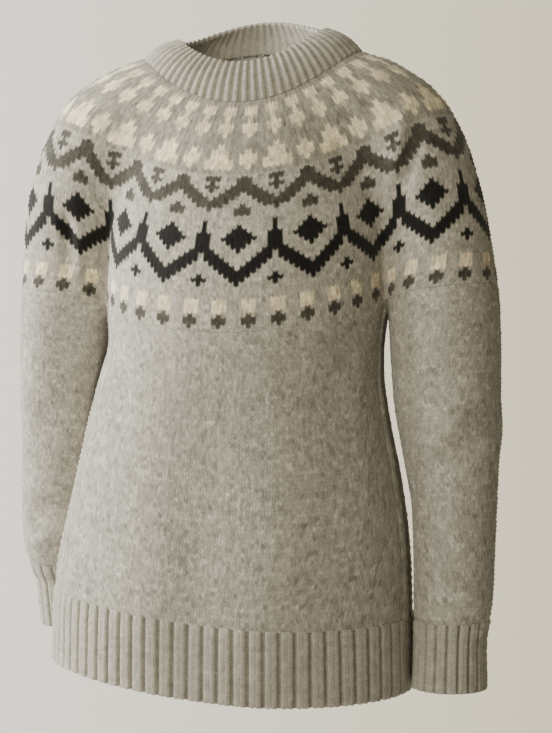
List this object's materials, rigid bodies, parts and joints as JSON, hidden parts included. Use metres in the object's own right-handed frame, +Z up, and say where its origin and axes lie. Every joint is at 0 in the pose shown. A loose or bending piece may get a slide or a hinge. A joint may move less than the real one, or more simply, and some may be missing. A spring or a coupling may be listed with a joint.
{
  "type": "fair isle sweater",
  "caption": "Hollow worn pullover with a round patterned yoke, ribbed neckband, hem and cuffs, sleeves hanging.",
  "frame": {"origin": "middle of the neck's base, where the wearer's shoulders hold the garment", "axes": "+Z up along the body, -Y the garment's front, +X the wearer's left"},
  "size_m": [0.5302, 0.2911, 0.7052],
  "materials": {
    "ground_wool": "matt heather-grey plain knit",
    "yoke_wool": "matt stranded knit in grey, cream, charcoal and black",
    "rib_wool": "matt heather-grey ribbing"
  },
  "bodies": {
    "root": {"neckband": "rib_wool", "yoke": "yoke_wool", "body_front": "ground_wool", "body_back": "ground_wool", "sleeve_left": "ground_wool", "sleeve_right": "ground_wool", "hem_rib_front": "rib_wool", "hem_rib_back": "rib_wool", "cuff_left": "rib_wool", "cuff_right": "rib_wool"}
  },
  "joints": []
}
